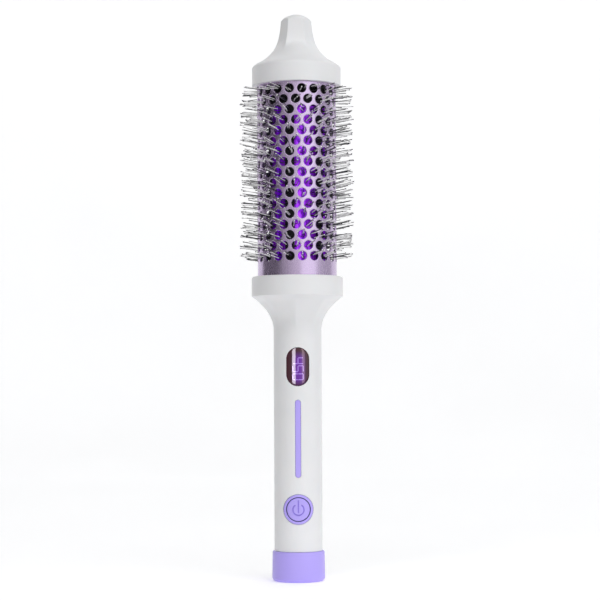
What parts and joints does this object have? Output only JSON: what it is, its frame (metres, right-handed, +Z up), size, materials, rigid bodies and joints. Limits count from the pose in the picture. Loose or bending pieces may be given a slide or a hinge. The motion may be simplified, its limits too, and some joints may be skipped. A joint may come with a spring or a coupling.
{
  "type": "heated round brush",
  "caption": "Cordless heated round hair brush: perforated barrel with fanned bristles, cool tip, and a slim handle with a display, light bar, power button and charging inlet.",
  "frame": {"origin": "centre of the flat underside of the end cap", "axes": "+Z up along the brush axis from the end cap to the tip; the button and display face -Y; +X to the right as seen from the front"},
  "size_m": [0.058, 0.058, 0.2859],
  "materials": {
    "white_shell": "satin moulded",
    "lavender": "satin gloss moulded",
    "barrel_coat": "lilac metallic coating",
    "core_violet": "bright violet anodised",
    "bristle": "translucent grey nylon in a black carrier",
    "black_plastic": "glass-filled, moulded",
    "dark_window": "polished smoked plastic",
    "aluminium": "extruded",
    "steel": "zinc plated",
    "circuit_board": "solder mask",
    "ceramic": "fired",
    "cell_sleeve": "shrink sleeve over a metal can",
    "wire_sleeve": "silicone insulation"
  },
  "bodies": {
    "brush": {"tip_cap": "white_shell", "tip_screw": "steel", "top_bush": "black_plastic", "barrel": "barrel_coat", "bristle_strip_01": "bristle", "bristle_strip_02": "bristle", "bristle_strip_03": "bristle", "bristle_strip_04": "bristle", "bristle_strip_05": "bristle", "bristle_strip_06": "bristle", "bristle_strip_07": "bristle", "bristle_strip_08": "bristle", "bristle_strip_09": "bristle", "bristle_strip_10": "bristle", "heat_core": "core_violet", "heat_block_front": "aluminium", "heat_block_rear": "aluminium", "heater_plate": "ceramic", "temperature_sensor": "black_plastic", "thermal_fuse": "steel", "base_socket": "black_plastic", "heater_lead_left": "wire_sleeve", "heater_lead_right": "wire_sleeve", "sensor_lead": "wire_sleeve", "front_shell": "white_shell", "rear_shell": "white_shell", "neck_screw_left": "steel", "neck_screw_right": "steel", "display_window": "dark_window", "display_module": "black_plastic", "light_bar": "lavender", "main_board": "circuit_board", "board_screw_lower": "steel", "board_screw_upper": "steel", "button_ring": "lavender", "switch_body": "steel", "battery_cell_lower": "cell_sleeve", "battery_cell_upper": "cell_sleeve", "battery_contact_lower": "steel", "battery_contact_upper": "steel", "battery_holder": "black_plastic", "charge_board": "circuit_board", "charge_socket": "steel", "end_cap": "lavender", "end_cap_screw_left": "steel", "end_cap_screw_right": "steel"},
    "button": {"power_button": "lavender", "switch_plunger": "black_plastic"}
  },
  "joints": [
    {"name": "power_button_press", "type": "slide", "parent": "brush", "child": "button", "axis": [0, 1, 0], "range_m": [0, 0.0006], "stiffness_N_per_m": 800}
  ]
}
